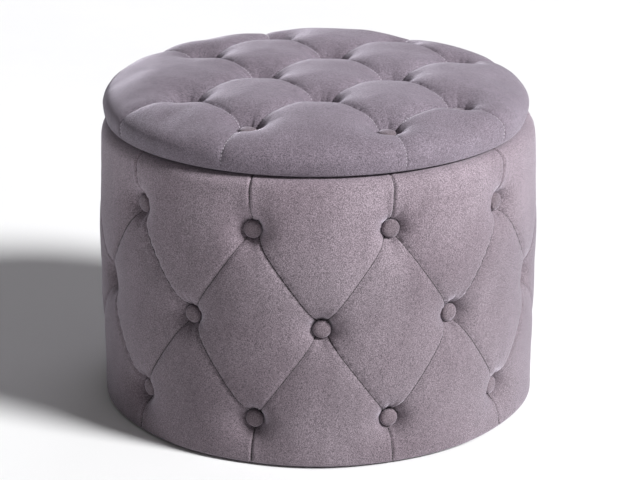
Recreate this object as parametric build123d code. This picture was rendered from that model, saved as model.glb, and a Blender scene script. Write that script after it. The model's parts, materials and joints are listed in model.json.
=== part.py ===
from build123d import *
import math
import os

# Round storage ottoman with a lift-off lid, both covered in button-tufted velvet.
#
# Frame: millimetres, +Z up, origin on the floor at the centre of the round body, front towards -Y.
# The body is a wooden drum (base panel, three hoops, five battens, hardboard wall) wrapped in foam and a
# fitted cover, lined inside and standing on five glides. The lid is a round board with a thick foam pad,
# its own cover, and a disc screwed underneath that drops into the body's mouth and keeps the lid in place.
# Each covered button is pulled into the padding by a tie that is knotted over a washer behind the board.

# ---- driving dimensions -------------------------------------------------------------------------
BODY_RADIUS = 263.0  # over the padding
RIM_Z = 343.0  # top of the body's padded rim
TOTAL_HEIGHT = 408.0  # floor to the top of the lid
LID_RADIUS = 253.0
LID_SHIFT_X = -3.0  # the loose lid is set down a little to the left, within its play in the mouth
LID_GAP = 0.3  # lid cover above the rim

GLIDE_HEIGHT = 4.0
GLIDE_RADIUS = 12.0
GLIDE_CIRCLE = 214.0
GLIDE_COUNT = 5

COVER_T = 1.5  # velvet and its backing
LINING_T = 1.0
DUST_COVER_T = 0.8
BOARD_T = 12.0
SHELL_T = 3.0  # bent hardboard
LINING_BOARD_T = 1.6
PLAY = 0.2  # between pieces that are fitted side by side

RIM_ROUNDING = 14.0
BASE_ROUNDING = 4.0
LID_TOP_ROUNDING = 45.0
LID_EDGE_ROUNDING = 7.0

# ---- tufting on the body: rows of buttons, alternate rows half a step round ----------------------
BUTTONS_ROUND = 10
PATTERN_TURN = 1.0  # degrees from the front (-Y) towards +X
ROWS = {"upper": (281.0, 0.5), "middle": (166.5, 0.0), "lower": (52.0, 0.5)}  # height, steps of offset
BODY_TUFT_DEPTH = 17.0
BODY_TUFT_MOUTH = 32.0

# ---- tufting on the lid: a staggered grid, 2-3-2-3-2 ---------------------------------------------
LID_STEP_X = 155.6
LID_STEP_Y = 88.0
LID_PATTERN_TURN = -3.5  # degrees about +Z
LID_PATTERN_X = 13.0  # the grid's centre from the lid's centre
LID_ROWS = (-2, -1, 0, 1, 2)
LID_TUFT_DEPTH = 34.0
LID_TUFT_MOUTH = 40.0

# ---- buttons and their ties ----------------------------------------------------------------------
BUTTON_RADIUS = 11.0
BUTTON_HEIGHT = 6.5
BUTTON_RIM = 10.5  # at the button's foot
BUTTON_HOLLOW_RADIUS = 9.2
BUTTON_HOLLOW = 2.6
BUTTON_BACK_RADIUS = 9.0
BUTTON_BACK_Z = (0.3, 1.9)
BUTTON_SEAT = 0.2  # button above the cover
TUFT_FLOOR_RADIUS = 12.5  # flat floor of a tuft, under its button
TIE_RADIUS = 1.1
TIE_TOP = 2.1  # the tie ends inside its button
TIE_HOLE = 1.6
TIE_CLEARANCE = 0.25
KNOT_RADIUS = 2.4
KNOT_HEIGHT = 2.0
WASHER_RADIUS = 8.0
WASHER_T = 1.2
WASHER_SEAT = 0.3  # washer off the board
POCKET_RADIUS = 9.5  # in the underside of the lid board, for washer and knot
POCKET_DEPTH = 4.0

# ---- fasteners -----------------------------------------------------------------------------------
SCREW_RADIUS = 1.75
SCREW_HEAD_RADIUS = 3.5
SCREW_HEAD_T = 2.2
SCREW_POINT = 3.0
SCREW_HOLE_PLAY = 0.05
BASE_SCREW_LENGTH = 20.0
HOOP_SCREW_LENGTH = 28.0
DISC_SCREW_LENGTH = 20.0
STAPLE_CROWN = 10.0
STAPLE_LEG = 8.0
STAPLE_WIRE = 0.6
STAPLE_BAND = 1.2
NAIL_LENGTH = 14.0
NAIL_RADIUS = 1.2
NAIL_HEAD_RADIUS = 3.5
NAIL_HEAD_T = 1.0
NAIL_SUNK = 1.2  # nail head above the glide's face

# ---- frame of the body ---------------------------------------------------------------------------
FOAM_INNER = 234.0  # outside of the hardboard wall
HOOP_INNER = 213.0
MIDDLE_HOOP_Z = 190.0
BATTEN_WIDTH = 30.0
BATTEN_DEPTH = 12.0
BATTEN_COUNT = 5
BATTEN_TURN = 10.0
BATTEN_INNER = 213.3
HEM_INNER = 226.0  # the cover's hem under the base reaches in to here
DUST_COVER_RADIUS = 246.0
MOUTH_FLANGE_Z = 312.0  # the cover turns into the mouth and ends here
LID_BOARD_RADIUS = 240.0
LID_HEM_INNER = 212.0
DISC_RADIUS = 203.0
LINING_SKIN = 0.8

# ---- values that follow from those ---------------------------------------------------------------
COVER_BASE_Z = GLIDE_HEIGHT + DUST_COVER_T
PANEL_Z = COVER_BASE_Z + COVER_T
PANEL_TOP = PANEL_Z + BOARD_T
FRAME_TOP = RIM_Z - COVER_T
HOOP_OUTER = FOAM_INNER - SHELL_T
HOOP_MIDDLE = (HOOP_INNER + HOOP_OUTER) / 2
BATTEN_MIDDLE = BATTEN_INNER + BATTEN_DEPTH / 2
LINING_BOARD_INNER = HOOP_INNER - LINING_BOARD_T
CAVITY_RADIUS = LINING_BOARD_INNER - PLAY - LINING_T
MOUTH_RADIUS = LINING_BOARD_INNER - PLAY - COVER_T

LID_Z = RIM_Z + LID_GAP
LID_BOARD_Z = LID_Z + COVER_T
LID_BOARD_TOP = LID_BOARD_Z + BOARD_T
DISC_Z = LID_BOARD_Z - BOARD_T
LID_FLOOR_Z = TOTAL_HEIGHT - LID_TUFT_DEPTH
LID_BUTTON_Z = LID_FLOOR_Z + BUTTON_SEAT
BODY_FLOOR_R = BODY_RADIUS - BODY_TUFT_DEPTH
BODY_BUTTON_R = BODY_FLOOR_R + BUTTON_SEAT
BODY_WASHER_R = HOOP_OUTER - WASHER_T - WASHER_SEAT
LID_WASHER_Z = LID_BOARD_Z + POCKET_DEPTH - WASHER_T - WASHER_SEAT
BODY_TIE_LENGTH = BODY_BUTTON_R - BODY_WASHER_R + PLAY + KNOT_HEIGHT
LID_TIE_LENGTH = LID_BUTTON_Z - LID_WASHER_Z + PLAY + KNOT_HEIGHT

BOTTOM = (Align.CENTER, Align.CENTER, Align.MIN)


# ---- shapes and places used throughout -----------------------------------------------------------
def heading(degrees):
    """Unit vector in the floor plane: 0 is the front (-Y), positive towards +X."""
    a = math.radians(degrees)
    return math.sin(a), -math.cos(a)


def outward(degrees, radius, z):
    """Plane at that radius and height whose Z points radially outward."""
    x, y = heading(degrees)
    return Plane(origin=(radius * x, radius * y, z), x_dir=(0, 0, 1), z_dir=(x, y, 0))


def circle_planes(count, radius, z, turn=0.0):
    """Level planes spaced evenly round the axis, X along the circle, the first at turn degrees."""
    places = [heading(turn + 360.0 * k / count) for k in range(count)]
    return [Plane(origin=(radius * x, radius * y, z), x_dir=(-y, x, 0), z_dir=(0, 0, 1)) for x, y in places]


def placed(part, planes):
    return [plane * part for plane in planes]


def disc(radius, z0, z1):
    return Pos(0, 0, z0) * Cylinder(radius, z1 - z0, align=BOTTOM)


def ring(inner, outer, z0, z1):
    return disc(outer, z0, z1) - disc(inner, z0, z1)


def rounded_disc(radius, z0, z1, top_rounding, bottom_rounding):
    solid = disc(radius, z0, z1)
    solid = fillet(solid.edges().group_by(Axis.Z)[-1], top_rounding)
    return fillet(solid.edges().group_by(Axis.Z)[0], bottom_rounding)


def tuft_cone(depth, mouth_radius, skin):
    """Cutter for one tuft, its floor at local Z 0; skin moves its whole surface outward by that much."""
    slope = (mouth_radius - TUFT_FLOOR_RADIUS) / depth
    wider = skin * math.sqrt(1 + slope * slope)
    low, high = -skin, depth + 4.0
    foot = TUFT_FLOOR_RADIUS + slope * low + wider
    return Pos(0, 0, low) * Cone(foot, foot + slope * (high - low), high - low, align=BOTTOM)


# ---- where the buttons are -----------------------------------------------------------------------
def body_planes(rows=tuple(ROWS), radius=BODY_BUTTON_R):
    """A plane facing outward at every button of those rows."""
    step = 360.0 / BUTTONS_ROUND
    places = []
    for row in rows:
        z, offset = ROWS[row]
        places += [outward(PATTERN_TURN + (k + offset) * step, radius, z) for k in range(BUTTONS_ROUND)]
    return places


def lid_planes(z):
    """A plane facing up at every lid button, from the lid's own axis."""
    turn = math.radians(LID_PATTERN_TURN)
    c, s = math.cos(turn), math.sin(turn)
    places = []
    for j in LID_ROWS:
        for i in (-0.5, 0.5) if j % 2 == 0 else (-1, 0, 1):
            gx, gy = i * LID_STEP_X, j * LID_STEP_Y
            places.append(Plane(origin=(LID_PATTERN_X + c * gx - s * gy, s * gx + c * gy, z)))
    return places


# ---- small pieces, each made once about local Z ---------------------------------------------------
def button_cap():
    """Domed cap, hollow behind, as a covered button has."""
    rim_radius = BUTTON_RADIUS - 0.7
    rim_h = 3.4
    dome = ThreePointArc((0, BUTTON_HEIGHT), (6.4, 5.6), (rim_radius, rim_h))
    roll = ThreePointArc((rim_radius, rim_h), (BUTTON_RADIUS, 2.2), (BUTTON_RIM, 0))
    foot = Line((BUTTON_RIM, 0), (BUTTON_HOLLOW_RADIUS, 0))
    side = Line((BUTTON_HOLLOW_RADIUS, 0), (BUTTON_HOLLOW_RADIUS, BUTTON_HOLLOW))
    roof = Line((BUTTON_HOLLOW_RADIUS, BUTTON_HOLLOW), (0, BUTTON_HOLLOW))
    axis = Line((0, BUTTON_HOLLOW), (0, BUTTON_HEIGHT))
    return revolve(Plane.XZ * make_face(Curve() + [dome, roll, foot, side, roof, axis]), Axis.Z)


def button_back():
    return ring(TIE_RADIUS + TIE_CLEARANCE, BUTTON_BACK_RADIUS, *BUTTON_BACK_Z)


def tie(length):
    """Cord from inside the button down to its knot behind the washer."""
    return disc(TIE_RADIUS, -length, TIE_TOP) + disc(KNOT_RADIUS, -length, KNOT_HEIGHT - length)


def tie_hole(length):
    return disc(TIE_HOLE, -length, TIE_TOP)


def washer():
    return ring(TIE_RADIUS + TIE_CLEARANCE, WASHER_RADIUS, 0, WASHER_T)


def screw(length):
    """Countersunk screw: the head's flat face at local Z 0, the point along +Z."""
    head = Cone(SCREW_HEAD_RADIUS, SCREW_RADIUS, SCREW_HEAD_T, align=BOTTOM)
    shank = disc(SCREW_RADIUS, SCREW_HEAD_T, length - SCREW_POINT)
    point = Pos(0, 0, length - SCREW_POINT) * Cone(SCREW_RADIUS, 0.3, SCREW_POINT, align=BOTTOM)
    return head + shank + point


def screw_hole(length):
    bore = SCREW_RADIUS + SCREW_HOLE_PLAY
    head = Cone(SCREW_HEAD_RADIUS + SCREW_HOLE_PLAY, bore, SCREW_HEAD_T, align=BOTTOM)
    return head + disc(bore, 0, length + PLAY)


def staple():
    """Wire staple driven along +Z, its crown lying along local X."""
    crown = Box(STAPLE_CROWN, STAPLE_BAND, STAPLE_WIRE, align=BOTTOM)
    leg = Box(STAPLE_WIRE, STAPLE_BAND, STAPLE_LEG, align=BOTTOM)
    half = (STAPLE_CROWN - STAPLE_WIRE) / 2
    return crown + Pos(-half, 0, 0) * leg + Pos(half, 0, 0) * leg


def nail():
    """Glide nail: its head sunk in the glide, its shank along +Z."""
    return disc(NAIL_HEAD_RADIUS, NAIL_SUNK, NAIL_SUNK + NAIL_HEAD_T) + disc(
        NAIL_RADIUS, NAIL_SUNK, NAIL_SUNK + NAIL_LENGTH
    )


def nail_hole():
    return disc(NAIL_RADIUS + SCREW_HOLE_PLAY, 0, NAIL_SUNK + NAIL_LENGTH + PLAY)


def glide():
    pad = disc(GLIDE_RADIUS, 0, GLIDE_HEIGHT)
    pad = fillet(pad.edges().group_by(Axis.Z)[0], 1.0)
    counterbore = disc(NAIL_HEAD_RADIUS + SCREW_HOLE_PLAY, 0, NAIL_SUNK + NAIL_HEAD_T)
    return pad - counterbore - nail_hole()


# ---- the body ------------------------------------------------------------------------------------
GLIDES = circle_planes(GLIDE_COUNT, GLIDE_CIRCLE, 0, turn=36.0)
BASE_SCREWS = circle_planes(10, HOOP_MIDDLE, PANEL_Z, turn=28.0)
BASE_HEM_STAPLES = circle_planes(30, 230.0, COVER_BASE_Z + PLAY, turn=6.0)
DUST_COVER_STAPLES = circle_planes(20, 222.0, GLIDE_HEIGHT - STAPLE_WIRE, turn=6.0)
LOWER_HOOP_SCREWS = circle_planes(BATTEN_COUNT, BATTEN_MIDDLE, PANEL_TOP, turn=BATTEN_TURN)
UPPER_HOOP_SCREWS = [
    Plane(origin=(p.origin.X, p.origin.Y, FRAME_TOP), x_dir=p.x_dir, z_dir=(0, 0, -1))
    for p in LOWER_HOOP_SCREWS
]


def hoop(z):
    return ring(HOOP_INNER, HOOP_OUTER, z, z + BOARD_T)


def batten():
    """Upright on the bottom hoop, up to the top hoop."""
    height = FRAME_TOP - PANEL_TOP - 2 * BOARD_T
    return Pos(0, 0, BOARD_T) * Box(BATTEN_WIDTH, BATTEN_DEPTH, height, align=BOTTOM)


def batten_notch():
    """Cutter for the middle hoop's notch, open towards the inside."""
    width = BATTEN_WIDTH + 2 * PLAY
    depth = 2 * BATTEN_DEPTH
    inward = (depth - BATTEN_DEPTH) / 2 - PLAY
    return Pos(0, inward, MIDDLE_HOOP_Z - PANEL_TOP) * Box(width, depth, BOARD_T, align=BOTTOM)


def body_skin():
    """Cover and foam, shaped together: every tuft is a cone sunk into both."""
    floors = body_planes(radius=BODY_FLOOR_R)
    outer_cones = placed(tuft_cone(BODY_TUFT_DEPTH, BODY_TUFT_MOUTH, 0), floors)
    inner_cones = placed(tuft_cone(BODY_TUFT_DEPTH, BODY_TUFT_MOUTH, COVER_T), floors)
    holes = placed(tie_hole(BODY_TIE_LENGTH), body_planes())
    outer = rounded_disc(BODY_RADIUS, COVER_BASE_Z, RIM_Z, RIM_ROUNDING, BASE_ROUNDING)
    inner = rounded_disc(
        BODY_RADIUS - COVER_T, PANEL_Z, FRAME_TOP, RIM_ROUNDING - COVER_T, BASE_ROUNDING - COVER_T
    )
    padding = inner - inner_cones
    cover = outer - outer_cones - disc(MOUTH_RADIUS, 0, TOTAL_HEIGHT)
    cover -= padding - disc(MOUTH_RADIUS + COVER_T, 0, TOTAL_HEIGHT)
    cover -= disc(MOUTH_RADIUS + COVER_T + PLAY, 0, MOUTH_FLANGE_Z)
    cover -= disc(HEM_INNER, 0, PANEL_Z)
    foam = padding - disc(FOAM_INNER, 0, TOTAL_HEIGHT)
    return cover - holes, foam - holes


def body_parts():
    ties_through = placed(tie_hole(BODY_TIE_LENGTH), body_planes())
    base_screw_holes = placed(screw_hole(BASE_SCREW_LENGTH), BASE_SCREWS)
    lower_holes = placed(screw_hole(HOOP_SCREW_LENGTH), LOWER_HOOP_SCREWS)
    upper_holes = placed(screw_hole(HOOP_SCREW_LENGTH), UPPER_HOOP_SCREWS)
    nail_holes = placed(nail_hole(), GLIDES)
    cover, foam = body_skin()
    parts = {
        "base_panel": disc(FOAM_INNER, PANEL_Z, PANEL_TOP) - base_screw_holes - nail_holes,
        "bottom_hoop": hoop(PANEL_TOP) - base_screw_holes - lower_holes,
        "middle_hoop": hoop(MIDDLE_HOOP_Z) - placed(batten_notch(), LOWER_HOOP_SCREWS),
        "top_hoop": hoop(FRAME_TOP - BOARD_T) - upper_holes,
        "wall_shell": ring(HOOP_OUTER, FOAM_INNER, PANEL_TOP, FRAME_TOP) - ties_through,
        "lining_board": ring(LINING_BOARD_INNER, HOOP_INNER, PANEL_TOP, FRAME_TOP),
        "lining_wall": ring(CAVITY_RADIUS, CAVITY_RADIUS + LINING_T, PANEL_TOP, MOUTH_FLANGE_Z - PLAY),
        "lining_floor": disc(CAVITY_RADIUS - PLAY, PANEL_TOP, PANEL_TOP + LINING_T),
        "body_foam": foam,
        "body_cover": cover,
        "body_button_backs": placed(button_back(), body_planes()),
        "body_button_ties": placed(tie(BODY_TIE_LENGTH), body_planes()),
        "body_tie_washers": placed(washer(), body_planes(radius=BODY_WASHER_R)),
        "base_screws": placed(screw(BASE_SCREW_LENGTH), BASE_SCREWS),
        "lower_hoop_screws": placed(screw(HOOP_SCREW_LENGTH), LOWER_HOOP_SCREWS),
        "upper_hoop_screws": placed(screw(HOOP_SCREW_LENGTH), UPPER_HOOP_SCREWS),
        "base_hem_staples": placed(staple(), BASE_HEM_STAPLES),
        "dust_cover": disc(DUST_COVER_RADIUS, GLIDE_HEIGHT, COVER_BASE_Z) - nail_holes,
        "dust_cover_staples": placed(staple(), DUST_COVER_STAPLES),
        "glide_nails": placed(nail(), GLIDES),
    }
    for row in ROWS:
        parts["body_buttons_" + row] = placed(button_cap(), body_planes((row,)))
    for k, plane in enumerate(LOWER_HOOP_SCREWS, 1):
        parts[f"batten_{k}"] = plane * batten() - lower_holes - upper_holes
    for k, plane in enumerate(GLIDES, 1):
        parts[f"glide_{k}"] = plane * glide()
    return parts


# ---- the lid, modelled on the Z axis and then set down with its small shift ------------------------
DISC_SCREWS = circle_planes(6, 120.0, DISC_Z, turn=12.0)
LID_HEM_STAPLES = circle_planes(30, 220.0, LID_Z + PLAY)


def lid_skin():
    """Cover and foam, shaped together as on the body."""
    floors = lid_planes(LID_FLOOR_Z)
    outer_cones = placed(tuft_cone(LID_TUFT_DEPTH, LID_TUFT_MOUTH, 0), floors)
    inner_cones = placed(tuft_cone(LID_TUFT_DEPTH, LID_TUFT_MOUTH, COVER_T), floors)
    holes = placed(tie_hole(LID_TIE_LENGTH), lid_planes(LID_BUTTON_Z))
    outer = rounded_disc(LID_RADIUS, LID_Z, TOTAL_HEIGHT, LID_TOP_ROUNDING, LID_EDGE_ROUNDING)
    inner = rounded_disc(
        LID_RADIUS - COVER_T,
        LID_BOARD_Z,
        TOTAL_HEIGHT - COVER_T,
        LID_TOP_ROUNDING - COVER_T,
        LID_EDGE_ROUNDING - COVER_T,
    )
    padding = inner - inner_cones
    cover = outer - outer_cones - padding - disc(LID_HEM_INNER, LID_Z, LID_BOARD_Z)
    foam = padding - disc(LID_BOARD_RADIUS, LID_BOARD_Z, LID_BOARD_TOP)
    return cover - holes, foam - holes


def lid_lining():
    """One cloth over the disc and the ring of board round it, out to the cover's hem."""
    cloth = disc(DISC_RADIUS + LINING_SKIN, DISC_Z - LINING_SKIN, LID_BOARD_Z)
    cloth += disc(LID_HEM_INNER - PLAY, LID_BOARD_Z - LINING_SKIN, LID_BOARD_Z)
    return cloth - disc(DISC_RADIUS, DISC_Z, LID_BOARD_Z)


def lid_parts():
    ties_through = placed(tie_hole(LID_TIE_LENGTH), lid_planes(LID_BUTTON_Z))
    disc_screw_holes = placed(screw_hole(DISC_SCREW_LENGTH), DISC_SCREWS)
    pockets = placed(disc(POCKET_RADIUS, 0, POCKET_DEPTH), lid_planes(LID_BOARD_Z))
    board = disc(LID_BOARD_RADIUS, LID_BOARD_Z, LID_BOARD_TOP)
    cover, foam = lid_skin()
    parts = {
        "lid_board": board - ties_through - pockets - disc_screw_holes,
        "lid_foam": foam,
        "lid_cover": cover,
        "lid_buttons": placed(button_cap(), lid_planes(LID_BUTTON_Z)),
        "lid_button_backs": placed(button_back(), lid_planes(LID_BUTTON_Z)),
        "lid_button_ties": placed(tie(LID_TIE_LENGTH), lid_planes(LID_BUTTON_Z)),
        "lid_tie_washers": placed(washer(), lid_planes(LID_WASHER_Z)),
        "locating_disc": disc(DISC_RADIUS, DISC_Z, LID_BOARD_Z) - disc_screw_holes,
        "locating_disc_screws": placed(screw(DISC_SCREW_LENGTH), DISC_SCREWS),
        "lid_lining": lid_lining(),
        "lid_hem_staples": placed(staple(), LID_HEM_STAPLES),
    }
    return {name: [Pos(LID_SHIFT_X, 0, 0) * s for s in solids_of(made)] for name, made in parts.items()}


def solids_of(made):
    """The solids of one shape, or of a list of shapes."""
    shapes = made if isinstance(made, list) else [made]
    return [solid for shape in shapes for solid in shape.solids()]


os.makedirs("parts", exist_ok=True)
for name, made in {**body_parts(), **lid_parts()}.items():
    solids = solids_of(made)
    export_step(Compound(solids), f"parts/{name}.step")
    print(name, len(solids))
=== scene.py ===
import json
import math

import bmesh
import bpy
import numpy as np
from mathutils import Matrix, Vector, geometry, noise


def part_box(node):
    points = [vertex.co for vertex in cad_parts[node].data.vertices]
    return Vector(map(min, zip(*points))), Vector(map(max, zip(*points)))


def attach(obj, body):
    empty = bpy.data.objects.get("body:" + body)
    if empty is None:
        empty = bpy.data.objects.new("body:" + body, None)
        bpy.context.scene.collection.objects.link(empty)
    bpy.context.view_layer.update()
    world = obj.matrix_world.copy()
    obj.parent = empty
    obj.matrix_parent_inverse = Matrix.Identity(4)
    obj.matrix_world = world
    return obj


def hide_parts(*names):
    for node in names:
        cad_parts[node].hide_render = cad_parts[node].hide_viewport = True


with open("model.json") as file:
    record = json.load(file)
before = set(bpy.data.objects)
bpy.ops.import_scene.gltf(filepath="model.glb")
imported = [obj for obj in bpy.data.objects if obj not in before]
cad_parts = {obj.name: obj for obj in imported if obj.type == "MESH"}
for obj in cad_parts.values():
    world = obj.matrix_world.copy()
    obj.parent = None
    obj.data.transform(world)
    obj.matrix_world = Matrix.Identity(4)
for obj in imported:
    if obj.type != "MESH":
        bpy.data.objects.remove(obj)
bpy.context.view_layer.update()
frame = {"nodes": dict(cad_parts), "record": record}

# Round storage ottoman with a lift-off lid. Everything is in metres, in the CAD frame: +Z up, front -Y.
# Each velvet cover is made in four steps: a mesh whose edges run along the seams, the depth of the
# tufting pressed into it, a cloth simulation that relaxes it, and a fine pass with grooves and gathers.

scene = bpy.context.scene
MM = 0.001
rng = np.random.default_rng(7)

# ---- places read from the frame ----
BODY_LO, BODY_HI = (Vector(c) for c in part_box("body_cover"))
LID_LO, LID_HI = (Vector(c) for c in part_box("lid_cover"))
BODY_R = (BODY_HI.x - BODY_LO.x) / 2
LID_R = (LID_HI.x - LID_LO.x) / 2
LID_X = (LID_HI.x + LID_LO.x) / 2
RIM_Z = BODY_HI.z
LID_Z = LID_LO.z
TOP_Z = LID_HI.z
COVER_T = 1.5 * MM


def radius_of(node):
    lo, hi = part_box(node)
    return (hi[0] - lo[0]) / 2


MOUTH_R = radius_of("lining_wall") - COVER_T
FLANGE_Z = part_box("lining_wall")[1][2]
WALL_R = radius_of("wall_shell")
BOARD_R = radius_of("lid_board")
BOARD_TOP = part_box("lid_board")[1][2]

# ---- the tufting ----
BUTTON_R = 11 * MM
SEAT_R = 11.3 * MM  # the cloth is pressed flat this far out under a button
CREVICE = 4.5 * MM  # and it lies this much deeper than the button's back
ROW_BUTTONS = 10
HALF_COLUMNS = 2 * ROW_BUTTONS  # the rows are staggered by half a button
COLUMN = math.radians(18)  # half the angle between neighbouring buttons of a row
ROW_NODES = ("body_buttons_lower", "body_buttons_middle", "body_buttons_upper")
LID_NEIGHBOUR = 130 * MM  # lid buttons nearer than this are joined by a seam
LID_OUTER = 130 * MM  # lid buttons further out than this have a seam over the edge
LID_SEAM_SWING = math.radians(0.4)  # those seams reach the edge a little further round


def island_centres(node):
    """Centre of each button in a CAD node, as rows of x, y, z: its islands share one box."""
    mesh = frame["nodes"][node].data
    parent = list(range(len(mesh.vertices)))

    def root(i):
        while parent[i] != i:
            parent[i] = parent[parent[i]]
            i = parent[i]
        return i

    for e in mesh.edges:
        parent[root(e.vertices[0])] = root(e.vertices[1])
    co = np.array([v.co[:] for v in mesh.vertices])
    keys = np.array([root(i) for i in range(len(co))])
    boxes = []
    for key in np.unique(keys):
        low, high = co[keys == key].min(0), co[keys == key].max(0)
        near = [b for b in boxes if np.linalg.norm((b[0] + b[1] - low - high) / 2) < 2 * BUTTON_R]
        if near:
            near[0][:] = [np.minimum(near[0][0], low), np.maximum(near[0][1], high)]
        else:
            boxes.append([low, high])
    return np.array([(low + high) / 2 for low, high in boxes])


ROW_CENTRES = [island_centres(n) for n in ROW_NODES]
ROW_Z = [float(c[:, 2].mean()) for c in ROW_CENTRES]
LID_BUTTONS = island_centres("lid_buttons") - np.array([LID_X, 0, 0])


def angle_of(p):
    """Angle round the axis: 0 is the front (-Y), positive towards +X."""
    return math.atan2(p[0], -p[1])


def outward(point):
    """The direction straight out from the axis at a point."""
    return np.array([point[0], point[1], 0]) / math.hypot(point[0], point[1])


BODY_TURN = min((angle_of(c) for c in ROW_CENTRES[1]), key=abs)


# ---- mesh helpers ----
def new_object(name, verts, faces, material):
    mesh = bpy.data.meshes.new(name)
    mesh.from_pydata([tuple(v) for v in np.asarray(verts, float)], [], [tuple(f) for f in faces])
    mesh.validate()
    ob = bpy.data.objects.new(name, mesh)
    scene.collection.objects.link(ob)
    mesh.polygons.foreach_set("use_smooth", [True] * len(mesh.polygons))
    mesh.materials.append(material)
    return ob


def closed_object(name, verts, faces, material):
    """A new object whose faces all look outward."""
    ob = new_object(name, verts, faces, material)
    bm = bmesh.new()
    bm.from_mesh(ob.data)
    bmesh.ops.recalc_face_normals(bm, faces=bm.faces)
    bm.to_mesh(ob.data)
    bm.free()
    return ob


def coords(mesh):
    co = np.empty(len(mesh.vertices) * 3)
    mesh.vertices.foreach_get("co", co)
    return co.reshape(-1, 3)


def normals(mesh):
    no = np.empty(len(mesh.vertices) * 3)
    mesh.vertices.foreach_get("normal", no)
    return no.reshape(-1, 3)


def set_coords(mesh, co):
    mesh.vertices.foreach_set("co", np.ascontiguousarray(co, float).ravel())
    mesh.update()


def to_segments(points, starts, ends):
    """Distance of each point to the nearest segment."""
    best = np.full(len(points), 1e9)
    for start, end in zip(starts, ends):
        d = end - start
        t = np.clip(((points - start) @ d) / (d @ d), 0, 1)
        best = np.minimum(best, np.linalg.norm(points - start - t[:, None] * d, axis=1))
    return best


def edge_ends(mesh):
    """The two vertex numbers of each edge."""
    ends = np.empty(len(mesh.edges) * 2, int)
    mesh.edges.foreach_get("vertices", ends)
    return ends.reshape(-1, 2)


def wander(points, scale, seed):
    """Smooth noise in -1..1 at each point."""
    shift = Vector((seed * 3.1, seed * 1.7, seed * 2.3))
    return np.array([noise.noise(Vector(p) * scale + shift) for p in points])


def evened(mesh, moved, pinned, passes):
    """The movement averaged over neighbouring vertices, which takes the smallest wrinkles out."""
    a, b = edge_ends(mesh).T
    count = np.bincount(a, minlength=len(moved)) + np.bincount(b, minlength=len(moved))
    for _ in range(passes):
        sums = [np.bincount(a, xyz[b], len(xyz)) + np.bincount(b, xyz[a], len(xyz)) for xyz in moved.T]
        moved = np.where(pinned[:, None], 0, (moved + np.stack(sums, 1) / count[:, None]) / 2)
    return moved


CLOTH_PRESSURE = 4.0
CLOTH_FRAMES = 20
CLOTH_PASSES = 20  # of evening out


def cloth(ob, pinned, cap):
    """Relax a cover by cloth simulation with its seams and hems held; no vertex moves more than cap."""
    start = coords(ob.data).copy()
    group = ob.vertex_groups.new(name="held")
    group.add([int(i) for i in np.flatnonzero(pinned)], 1.0, "REPLACE")
    mod = ob.modifiers.new("cloth", "CLOTH")
    s = mod.settings
    s.quality = 5
    s.mass = 0.25
    s.air_damping = 4
    s.tension_stiffness = s.compression_stiffness = 12
    s.shear_stiffness = 6
    s.bending_stiffness = 0.6
    s.tension_damping = s.compression_damping = s.shear_damping = 8
    s.use_pressure = True
    s.uniform_pressure_force = CLOTH_PRESSURE
    s.shrink_min = -0.025
    s.vertex_group_mass = "held"
    s.pin_stiffness = 1
    s.effector_weights.gravity = 0
    mod.collision_settings.use_collision = False
    mod.point_cache.frame_start, mod.point_cache.frame_end = 1, CLOTH_FRAMES
    for f in range(1, CLOTH_FRAMES + 1):
        scene.frame_set(f)
    done = ob.evaluated_get(bpy.context.evaluated_depsgraph_get())
    moved = evened(ob.data, coords(done.data) - start, pinned, CLOTH_PASSES)
    ob.modifiers.clear()
    ob.vertex_groups.clear()
    scene.frame_set(1)
    length = np.linalg.norm(moved, axis=1)
    scale = cap * np.tanh(length / cap) / np.maximum(length, 1e-9)
    set_coords(ob.data, start + moved * scale[:, None])


SEAM_CREASE = 0.9


def subdivided(ob, crease_pairs):
    """One level of subdivision with the seams kept sharp. The first vertices stay the given ones."""
    mesh = ob.data
    crease = mesh.attributes.new("crease_edge", "FLOAT", "EDGE")
    seams = {(int(min(pair)), int(max(pair))) for pair in crease_pairs}
    ends = np.sort(edge_ends(mesh), axis=1)
    crease.data.foreach_set("value", [SEAM_CREASE if (int(a), int(b)) in seams else 0.0 for a, b in ends])
    mod = ob.modifiers.new("fine", "SUBSURF")
    mod.levels = mod.render_levels = 1
    mod.boundary_smooth = "ALL"
    done = bpy.data.meshes.new_from_object(ob.evaluated_get(bpy.context.evaluated_depsgraph_get()))
    ob.modifiers.clear()
    return done


# ---- shape of a tuft ----
BLEND = 2.2  # how sharply the funnels and the valleys run into each other


def tuft_depth(to_button, to_seam, seat, valley, reach, power, width):
    """Depth below the crests: a funnel down to each button's seat and a valley along each seam. Reach
    and power shape the funnel, and width is the valley's."""
    funnel = seat * np.exp(-((np.maximum(to_button - SEAT_R, 0) / reach) ** power))
    dip = valley * np.exp(-((to_seam / width) ** 0.9))
    both = (funnel**BLEND + dip**BLEND) ** (1 / BLEND)
    return np.minimum(both, np.maximum(seat, dip))


def gathers(offsets, distance, centre_ids, folds, height, reach, seed):
    """Pleats that radiate from each button: offsets are 2-D vectors from the nearest button, and
    folds are the numbers of pleats in the waves that are added up."""
    out = np.zeros(len(distance))
    local = np.random.default_rng(seed)
    for k in np.unique(centre_ids):
        mine = centre_ids == k
        phi = np.arctan2(offsets[mine, 1], offsets[mine, 0])
        d = np.maximum(distance[mine] - BUTTON_R, 0)
        wave = np.zeros(mine.sum())
        for n in folds:
            strength = local.uniform(0.35, 1.0)
            phase = local.uniform(0, 6.28)
            twist = local.uniform(-18, 18)
            gate = 0.5 + 0.5 * np.cos(phi * local.integers(1, 3) + local.uniform(0, 6.28))
            wave += strength * gate * np.cos(n * phi + phase + twist * d)
        out[mine] = wave * height * np.exp(-d / reach) * np.minimum(d / (1.5 * MM) + 0.2, 1)
    return out


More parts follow.
